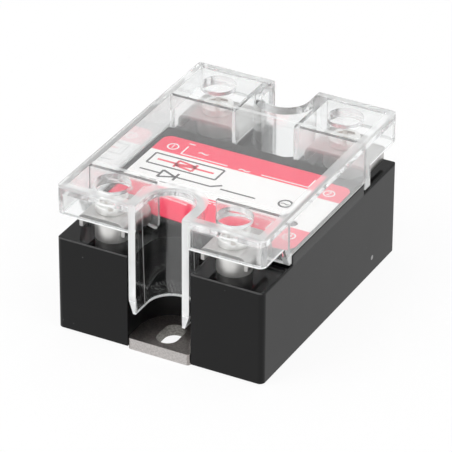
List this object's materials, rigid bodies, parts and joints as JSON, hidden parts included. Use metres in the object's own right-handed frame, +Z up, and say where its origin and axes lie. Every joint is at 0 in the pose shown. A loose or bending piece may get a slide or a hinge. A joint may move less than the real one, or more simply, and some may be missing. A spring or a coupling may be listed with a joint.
{
  "type": "solid state relay",
  "caption": "Panel-mount solid state relay: black case on a slotted metal base plate, screw clamp terminals at both ends and a clear clip-on cover.",
  "frame": {"origin": "centre of the base plate's underside, midway between the mounting slots", "axes": "+Z up out of the base plate, +Y from the input terminals to the output terminals, +X to the right seen from the input end"},
  "size_m": [0.0446, 0.0578, 0.0317],
  "materials": {
    "plate_metal": "fine-brushed plate",
    "case_plastic": "fine moulded, low gloss sides and glossy decks",
    "clear_plastic": "clear polished moulding",
    "label_print": "printed gloss film",
    "lamp_plastic": "diffused lamp",
    "post_nickel": "nickel plated",
    "clamp_nickel": "nickel plated",
    "screw_nickel": "nickel plated",
    "strap_copper": "bare copper",
    "substrate_ceramic": "fired alumina",
    "chip_silicon": "passivated silicon",
    "board_laminate": "solder mask",
    "component_plastic": "moulded epoxy",
    "capacitor_plastic": "dipped film",
    "resistor_ceramic": "lacquered",
    "resin": "cured potting"
  },
  "bodies": {
    "housing": {"base_plate": "plate_metal", "case": "case_plastic", "label": "label_print", "status_led": "lamp_plastic", "input_post_left": "post_nickel", "input_post_right": "post_nickel", "output_post_left": "post_nickel", "output_post_right": "post_nickel", "ceramic_substrate": "substrate_ceramic", "thyristor_left": "chip_silicon", "thyristor_right": "chip_silicon", "output_strap_left": "strap_copper", "output_strap_right": "strap_copper", "input_strap_left": "strap_copper", "input_strap_right": "strap_copper", "circuit_board": "board_laminate", "optocoupler": "component_plastic", "snubber_capacitor": "capacitor_plastic", "snubber_resistor": "resistor_ceramic", "input_resistor": "resistor_ceramic", "drive_transistor": "component_plastic", "gate_leads": "strap_copper", "potting_resin": "resin"},
    "cover": {"cover": "clear_plastic"},
    "input_clamp_left": {"input_clamp_left": "clamp_nickel"},
    "input_screw_left": {"input_screw_left": "screw_nickel"},
    "input_clamp_right": {"input_clamp_right": "clamp_nickel"},
    "input_screw_right": {"input_screw_right": "screw_nickel"},
    "output_clamp_left": {"output_clamp_left": "clamp_nickel"},
    "output_screw_left": {"output_screw_left": "screw_nickel"},
    "output_clamp_right": {"output_clamp_right": "clamp_nickel"},
    "output_screw_right": {"output_screw_right": "screw_nickel"}
  },
  "joints": [
    {"name": "cover_lift", "type": "slide", "parent": "housing", "child": "cover", "axis": [0, 0, 1], "range_m": [0, 0.03]},
    {"name": "input_clamp_left_lift", "type": "slide", "parent": "housing", "child": "input_clamp_left", "axis": [0, 0, 1], "range_m": [0, 0.0021]},
    {"name": "input_screw_left_turn", "type": "hinge", "parent": "input_clamp_left", "child": "input_screw_left", "pos_m": [-0.0131, -0.0228, 0.0263], "axis": [0, 0, 1], "range_deg": [0, 1080]},
    {"name": "input_clamp_right_lift", "type": "slide", "parent": "housing", "child": "input_clamp_right", "axis": [0, 0, 1], "range_m": [0, 0.0021]},
    {"name": "input_screw_right_turn", "type": "hinge", "parent": "input_clamp_right", "child": "input_screw_right", "pos_m": [0.0131, -0.0228, 0.0263], "axis": [0, 0, 1], "range_deg": [0, 1080]},
    {"name": "output_clamp_left_lift", "type": "slide", "parent": "housing", "child": "output_clamp_left", "axis": [0, 0, 1], "range_m": [0, 0.0021]},
    {"name": "output_screw_left_turn", "type": "hinge", "parent": "output_clamp_left", "child": "output_screw_left", "pos_m": [-0.0141, 0.0216, 0.0246], "axis": [0, 0, 1], "range_deg": [0, 1080]},
    {"name": "output_clamp_right_lift", "type": "slide", "parent": "housing", "child": "output_clamp_right", "axis": [0, 0, 1], "range_m": [0, 0.0021]},
    {"name": "output_screw_right_turn", "type": "hinge", "parent": "output_clamp_right", "child": "output_screw_right", "pos_m": [0.0141, 0.0216, 0.0246], "axis": [0, 0, 1], "range_deg": [0, 1080]}
  ],
  "couplings": [
    {"joint": "input_screw_left_turn", "follows": "input_clamp_left_lift", "rad_per_m": 8976},
    {"joint": "input_screw_right_turn", "follows": "input_clamp_right_lift", "rad_per_m": 8976},
    {"joint": "output_screw_left_turn", "follows": "output_clamp_left_lift", "rad_per_m": 8976},
    {"joint": "output_screw_right_turn", "follows": "output_clamp_right_lift", "rad_per_m": 8976}
  ]
}
